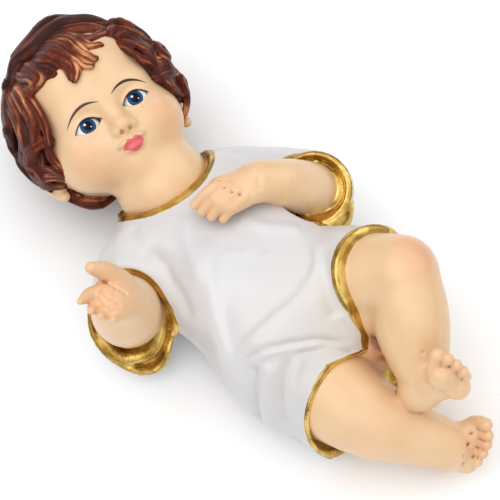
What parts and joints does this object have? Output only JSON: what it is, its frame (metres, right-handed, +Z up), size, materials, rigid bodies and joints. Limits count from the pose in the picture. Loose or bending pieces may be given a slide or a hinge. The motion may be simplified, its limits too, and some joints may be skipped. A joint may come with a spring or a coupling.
{
  "type": "baby jesus figurine",
  "caption": "Painted resin figurine of the baby Jesus lying on his back in a short white tunic with gold hems, one hand raised and one laid on the chest.",
  "frame": {"origin": "on the plane the figurine lies on, under the middle of its back", "axes": "+X from the head towards the feet, +Y towards the figure's left hand, +Z up, the way the face and chest look"},
  "size_m": [0.1986, 0.0984, 0.0595],
  "materials": {
    "flesh_paint": "satin",
    "tunic_paint": "satin",
    "gold_paint": "satin",
    "hair_paint": "gloss"
  },
  "bodies": {
    "root": {"figurine": "flesh_paint"}
  },
  "joints": []
}
